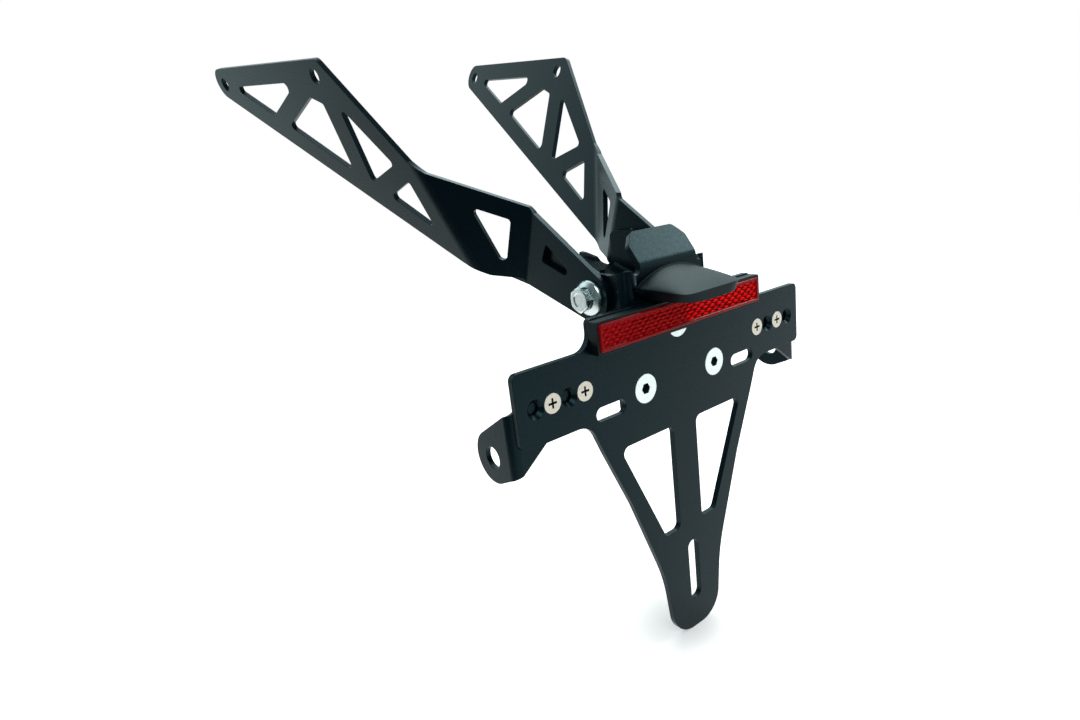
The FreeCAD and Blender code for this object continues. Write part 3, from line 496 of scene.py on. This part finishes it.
housing = as_piece(shape, "lamp_cap", "plate_holder", "black_plastic", plastic)
wall = housing.modifiers.new("wall", "SOLIDIFY")
wall.thickness = lamp_wall
wall.offset = -1.0
shape = bmesh.new()
for x in (-boss_out, boss_out):
    bmesh.ops.create_cone(shape, cap_ends=True, segments=32, radius1=boss_radius,
                          radius2=boss_radius, depth=boss_long,
                          matrix=Matrix.Translation((x, *boss_middle))
                          @ Matrix.Rotation(math.radians(90), 4, "X"))
as_piece(shape, "lamp_bosses", "plate_holder", "black_plastic", plastic)
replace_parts(housing, "lamp_housing")

# Lamp pane, board and grommet: a clear pane clipped into the skirt, a white board with three
# LEDs above it, and a soft rubber ring in the web where the cable would run.
pane_half = 0.0150
pane_deep = 0.0092
pane_power = 3.8
pane_y = -0.0085
pane_top = 0.0382
pane_thick = 0.0010
led_pitch = 0.005
led_radius = 0.0011
led_high = 0.0002
led_middle = (-0.00385, 0.03872)
clear = principled("clear_pane", {
    "Base Color": (0.95, 0.97, 0.98, 1), "Roughness": 0.08, "Transmission Weight": 1.0,
    "IOR": 1.49})[0]
shape = bmesh.new()
bmesh.ops.create_circle(shape, cap_ends=True, segments=96, radius=1.0)
for vert in shape.verts:
    turn = math.atan2(vert.co.y, vert.co.x)
    wide = math.copysign(abs(math.cos(turn)) ** (2 / pane_power), math.cos(turn))
    deep = math.copysign(abs(math.sin(turn)) ** (2 / pane_power), math.sin(turn))
    vert.co = Vector((wide * pane_half, pane_y + deep * pane_deep, pane_top))
pane = as_piece(thickened(shape, (0, 0, -pane_thick)), "lamp_pane", "plate_holder",
                "clear_lens", clear)
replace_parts(pane, "lamp_lens")
board = plain_surface("white_board", (0.75, 0.76, 0.72), 0.0, 0.4, 0.05, 1500.0, 0.05, 0.0001)
dress(board, "lamp_board")
phosphor = plain_surface("yellow_phosphor", (0.80, 0.62, 0.12), 0.0, 0.5, 0.05, 3000.0, 0.1,
                         0.0001)
shape = bmesh.new()
for x in (-led_pitch, 0.0, led_pitch):
    bmesh.ops.create_cone(shape, cap_ends=True, segments=24, radius1=led_radius,
                          radius2=led_radius, depth=led_high,
                          matrix=Matrix.Translation((x, *led_middle)))
as_piece(shape, "lamp_leds", "plate_holder", "board", phosphor)
rubber = plain_surface("soft_black_rubber", (0.012, 0.012, 0.012), 0.0, 0.65, 0.08, 1800.0, 0.2,
                       0.0002)
dress(rubber, "cable_grommet")

# Reflector lens: red clear plastic in the black tray, with a round-edged rim. Behind its
# panel are six-sided prisms: they face the lamps on the right half and turn away on the left,
# and that light is painted into the colour, bright glint dots on the right and a duller red with
# pale painted highlights on the left.
corner_round = 0.0010
edge_round = 0.0006
rim_wide = 0.0006
groove_wide = 0.0003
panel_sunk = 0.0003
prism_wide = 0.0044
prism_high = 0.0014
prism_deep = 0.0003


def front_face(shape):
    return min(shape.faces, key=lambda face: face.calc_center_median().y)


def rounded(shape, edges, offset, segments):
    bmesh.ops.bevel(shape, geom=edges, offset=offset, offset_type="OFFSET", segments=segments,
                    profile=0.5, affect="EDGES", material=-1)


lens_low, lens_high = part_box("reflector_lens")
shape = bmesh.new()
bmesh.ops.create_cube(shape, size=1.0)
bmesh.ops.scale(shape, vec=lens_high - lens_low, verts=shape.verts)
bmesh.ops.translate(shape, vec=(lens_low + lens_high) / 2, verts=shape.verts)
rounded(shape, [edge for edge in shape.edges
                if abs(edge.verts[0].co.y - edge.verts[1].co.y) > 0.001], corner_round, 4)
rounded(shape, list(front_face(shape).edges), edge_round, 3)
shape.normal_update()
panel = front_face(shape)
bmesh.ops.inset_region(shape, faces=[panel], thickness=rim_wide, depth=0.0)
bmesh.ops.inset_region(shape, faces=[panel], thickness=groove_wide, depth=-panel_sunk)
panel.material_index = 1

rim_red = principled("red_moulded_rim", {
    "Base Color": (0.36, 0.002, 0.004, 1), "Specular IOR Level": 0.25, "Roughness": 0.22,
    "Specular Tint": (1.0, 0.30, 0.30, 1)})[0]
glint_painted_panel, tree, shader = principled("red_panel_painted_glints", {
    "Metallic": 0.75, "Roughness": 0.35, "Specular IOR Level": 0.15,
    "Specular Tint": (1.0, 0.10, 0.10, 1)})
along = tree.nodes.new("ShaderNodeSeparateXYZ")
feed(tree, object_place(tree), along.inputs["Vector"])


def times(first, second):
    return worked(tree, "MULTIPLY", first, second)


def wave(angle):
    return worked(tree, "COSINE", angle)


across = times(along.outputs["X"], 2 * math.pi / prism_wide)
upward = times(along.outputs["Z"], 2 * math.pi / prism_high)
half_up = times(upward, 0.5)
cells = worked(tree, "ADD", times(times(wave(across), wave(half_up)), 2.0), wave(upward))
slant = worked(tree, "ADD", wave(worked(tree, "SUBTRACT", times(across, 1.6), half_up)),
               times(wave(upward), 0.8))
uneven = ranged(tree, grain(tree, 420.0, 1.0), 0.25, 0.75, 0.65, 1.3, smooth=False)
# Painted glints and shade: each cell's bright dot, the left half's pale streaks and the right
# half's brighter red are painted into the colour.
painted_glint_share = worked(tree, "MULTIPLY", ranged(tree, cells, -1.4, 0.9, 0.0, 1.0), uneven,
                      clamp=True)
painted_streak_share = worked(tree, "MULTIPLY", ranged(tree, slant, 0.2, 1.8, 0.0, 1.0), uneven,
                    clamp=True)
painted_lit_half = two_tone(tree, (0.10, 0.001, 0.001, 1), (1.0, 0.004, 0.007, 1), painted_glint_share)
painted_shaded_half = two_tone(tree, (0.26, 0.003, 0.005, 1), (0.60, 0.018, 0.022, 1), painted_streak_share)
on_right = worked(tree, "GREATER_THAN", along.outputs["X"], 0.0)
feed(tree, two_tone(tree, painted_shaded_half, painted_lit_half, on_right), shader.inputs["Base Color"])
feed(tree, bumped(tree, cells, 0.5, prism_deep).outputs["Normal"], shader.inputs["Normal"])
lens = as_piece(shape, "reflector_pane", "plate_holder", "red_lens", rim_red, glint_painted_panel)
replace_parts(lens, "reflector_lens")

# Screws and bolts: zinc-plated steel for the M6 sets, plain stainless for the small M4 screws.
# Each keeps its head and gets a rolled thread with a rounded end past its nut.
m6 = (0.0030, 0.0010)
m4 = (0.0020, 0.0007)
thread_depth = 0.61
crest_gap = 0.00002
flank_sunk = 0.00008
core_overlap = 0.0002
tip_long = 0.0005
tip_overlap = 0.0001
tip_narrow = 0.0004
around = 28
# Both metals get painted shade in their sockets and recesses, reaching as far as their last
# number.
zinc = plain_surface("bright_zinc", (0.90, 0.97, 0.96), 1.0, 0.24, 0.05, 700.0, 0.06, 0.0001,
                     0.00025, 0.0035)
stainless = plain_surface("plain_stainless", (0.76, 0.70, 0.60), 1.0, 0.34, 0.06, 900.0, 0.06,
                          0.0001, 0.0002, 0.0020)


# A fastener turned to lie along Y with its head at the low end: the shank is cut off at start,
# and a ridge is spun round a core from there to end. Radius and pitch are the thread's.
def threaded(name, place, start, end, radius, pitch):
    shape = as_copy(name)
    bmesh.ops.transform(shape, matrix=place.inverted(), verts=shape.verts)
    everything = list(shape.verts) + list(shape.edges) + list(shape.faces)
    bmesh.ops.bisect_plane(shape, geom=everything, dist=1e-7, plane_co=(0, start, 0),
                           plane_no=(0, 1, 0), clear_outer=True)
    bmesh.ops.holes_fill(shape, edges=[edge for edge in shape.edges if edge.is_boundary])
    root = radius - thread_depth * pitch
    crest = radius - crest_gap
    turns = int((end - start) / pitch - 0.4)
    profile = [shape.verts.new((rim, start + up * pitch, 0))
               for rim, up in ((root - flank_sunk, 0.03), (crest, 0.42), (crest, 0.58),
                               (root - flank_sunk, 0.97))]
    ridges = [shape.edges.new(pair) for pair in zip(profile, profile[1:] + profile[:1])]
    turned = bmesh.ops.spin(shape, geom=profile + ridges, cent=(0, 0, 0), axis=(0, 1, 0),
                            dvec=(0, pitch / around, 0), angle=2 * math.pi * turns,
                            steps=around * turns, use_merge=False, use_duplicate=False)
    last_ring = [item for item in turned["geom_last"] if isinstance(item, bmesh.types.BMVert)]
    middle_up = sum(vert.co.y for vert in last_ring) / 4
    last_ring.sort(key=lambda vert: math.atan2(vert.co.y - middle_up,
                                               vert.co.xz.length - (root + crest) / 2))
    for ring in (profile, last_ring):
        shape.faces.new(ring)
    thread = set()
    reached = set(profile)
    fresh = list(profile)
    while fresh:
        for face in fresh.pop().link_faces:
            thread.add(face)
            for other in face.verts:
                if other not in reached:
                    reached.add(other)
                    fresh.append(other)
    bmesh.ops.recalc_face_normals(shape, faces=list(thread))
    core_end = end - tip_long
    for low, high, first, last in (
            (start - core_overlap, core_end, root, root),
            (core_end - tip_overlap, end, root - crest_gap, root - tip_narrow)):
        bmesh.ops.create_cone(shape, cap_ends=True, segments=around, radius1=first,
                              radius2=last, depth=high - low,
                              matrix=Matrix.Translation((0, (low + high) / 2, 0))
                              @ Matrix.Rotation(math.radians(-90), 4, "X"))
    return shape


def along_y(x, y, z, turn=0.0):
    return Matrix.Translation((x, y, z)) @ Matrix.Rotation(math.radians(turn), 4, "Z")


def replace_screw(name, start, end, thread, slot, material):
    low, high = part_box(name)
    middle = (low + high) / 2
    place = along_y(middle.x, 0, middle.z)
    shape = threaded(name, place, start, end, *thread)
    bmesh.ops.transform(shape, matrix=place, verts=shape.verts)
    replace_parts(as_piece(shape, name + "_threaded", "plate_holder", slot, material), name)


for word in ("left", "right", "top"):
    replace_screw("plate_screw_" + word, 0.0080, 0.0120, m6, "zinc", zinc)
for side in ("left", "right"):
    for spot in ("inner", "outer"):
        replace_screw("indicator_screw_%s_%s" % (side, spot), 0.0060, 0.0100, m4, "stainless",
                      stainless)

# Pivot bolts: flanged hexagon heads on the arms' outer sides, on the axis that the plate tilts
# about. The head is wide and stands with a flat to the front.
pivot = (0.0265, 0.0215, 0.0392)
flange_back = -0.00245
head_wider = 1.17
head_turn = 30
for side, word in ((-1, "left"), (1, "right")):
    name = "pivot_bolt_" + word
    place = along_y(side * pivot[0], *pivot[1:], 90.0 * side)
    shape = threaded(name, place, 0.0085, 0.0142, *m6)
    head = [vert for vert in shape.verts if vert.co.y < flange_back]
    bmesh.ops.scale(shape, vec=(head_wider, 1, head_wider), verts=head)
    bmesh.ops.rotate(shape, cent=(0, 0, 0), verts=head,
                     matrix=Matrix.Rotation(math.radians(head_turn), 3, "Y"))
    bmesh.ops.transform(shape, matrix=place, verts=shape.verts)
    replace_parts(as_piece(shape, name + "_threaded", "arms", "zinc", zinc), name)
for name in nodes:
    if name.startswith("indicator_nut"):
        dress(stainless, name)
    elif "_nut" in name or "_washer" in name or name.startswith("lamp_screw"):
        dress(zinc, name)
